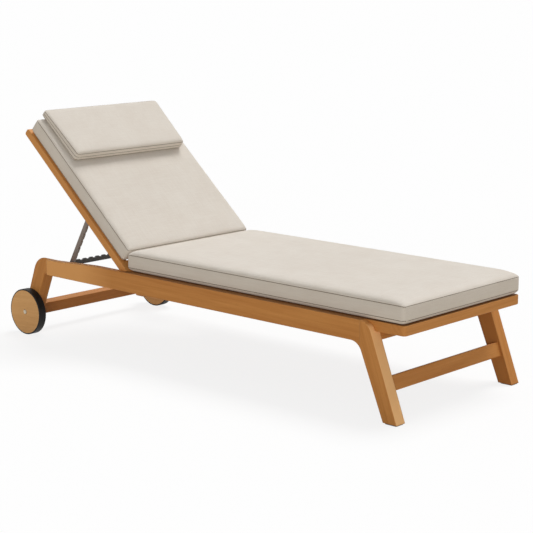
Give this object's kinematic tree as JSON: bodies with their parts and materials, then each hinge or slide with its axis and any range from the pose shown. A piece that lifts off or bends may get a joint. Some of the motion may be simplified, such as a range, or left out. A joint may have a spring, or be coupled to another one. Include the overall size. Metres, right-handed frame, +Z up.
{
  "type": "wooden sun lounger",
  "caption": "Teak-coloured wooden sun lounger with a reclining backrest on a notched prop, wheels at the head end, and pale seat, back and head cushions.",
  "frame": {"origin": "centre of the footprint's bounding box, on the floor", "axes": "+X to the foot end, +Y to the far side of the picture, +Z up"},
  "size_m": [1.946, 0.7326, 0.8984],
  "materials": {
    "frame_wood": "oiled",
    "wheel_wood": "oiled",
    "cushion_fabric": "woven",
    "pillow_fabric": "woven",
    "tyre_rubber": "matte",
    "glide_plastic": "matte",
    "bush_plastic": "matte",
    "steel": "brushed",
    "arm_metal": "satin",
    "dark_metal": "satin",
    "rack_metal": "satin"
  },
  "bodies": {
    "frame": {"side_rail_near": "frame_wood", "foot_leg_near": "frame_wood", "rear_leg_near": "frame_wood", "deck_stile_near": "frame_wood", "rack_near": "rack_metal", "rack_block_near": "frame_wood", "axle_near": "steel", "side_rail_far": "frame_wood", "foot_leg_far": "frame_wood", "rear_leg_far": "frame_wood", "deck_stile_far": "frame_wood", "rack_far": "rack_metal", "rack_block_far": "frame_wood", "axle_far": "steel", "leg_dowels": "frame_wood", "foot_glides": "glide_plastic", "foot_apron": "frame_wood", "foot_stretcher": "frame_wood", "rear_stretcher": "frame_wood", "deck_foot_rail": "frame_wood", "deck_head_rail": "frame_wood", "hinge_pins": "steel", "seat_cushion": "cushion_fabric", "seat_slat_1": "frame_wood", "seat_slat_2": "frame_wood", "seat_slat_3": "frame_wood", "seat_slat_4": "frame_wood", "seat_slat_5": "frame_wood", "seat_slat_6": "frame_wood", "seat_slat_7": "frame_wood", "seat_slat_8": "frame_wood", "seat_slat_9": "frame_wood", "seat_slat_10": "frame_wood", "seat_slat_11": "frame_wood"},
    "backrest": {"back_stile_near": "frame_wood", "back_stile_far": "frame_wood", "back_top_rail": "frame_wood", "back_bottom_rail": "frame_wood", "hinge_bushes": "bush_plastic", "prop_bosses": "dark_metal", "prop_pins": "steel", "back_cushion": "cushion_fabric", "head_pillow": "pillow_fabric", "back_slat_1": "frame_wood", "back_slat_2": "frame_wood", "back_slat_3": "frame_wood", "back_slat_4": "frame_wood", "back_slat_5": "frame_wood", "back_slat_6": "frame_wood", "back_slat_7": "frame_wood"},
    "prop": {"prop_arm_near": "arm_metal", "prop_arm_far": "arm_metal", "grip_bar": "dark_metal", "prop_end_pins": "dark_metal"},
    "wheel_near": {"wheel_disc_near": "wheel_wood", "tyre_near": "tyre_rubber", "wheel_bush_near": "bush_plastic"},
    "wheel_far": {"wheel_disc_far": "wheel_wood", "tyre_far": "tyre_rubber", "wheel_bush_far": "bush_plastic"}
  },
  "joints": [
    {"name": "recline", "type": "hinge", "parent": "frame", "child": "backrest", "pos_m": [-0.322, 0, 0.3065], "axis": [0, 1, 0], "range_deg": [-41.3, 3]},
    {"name": "prop_swing", "type": "hinge", "parent": "backrest", "child": "prop", "pos_m": [-0.57998, 0, 0.52648], "axis": [0, 1, 0], "range_deg": [-7.3, 99.2]},
    {"name": "wheel_near_spin", "type": "hinge", "parent": "frame", "child": "wheel_near", "pos_m": [-0.882, -0.348, 0.091], "axis": [0, 1, 0], "continuous": true},
    {"name": "wheel_far_spin", "type": "hinge", "parent": "frame", "child": "wheel_far", "pos_m": [-0.882, 0.348, 0.091], "axis": [0, 1, 0], "continuous": true}
  ],
  "couplings": [
    {"joint": "prop_swing", "follows": "recline", "ratio": -2.3996}
  ]
}
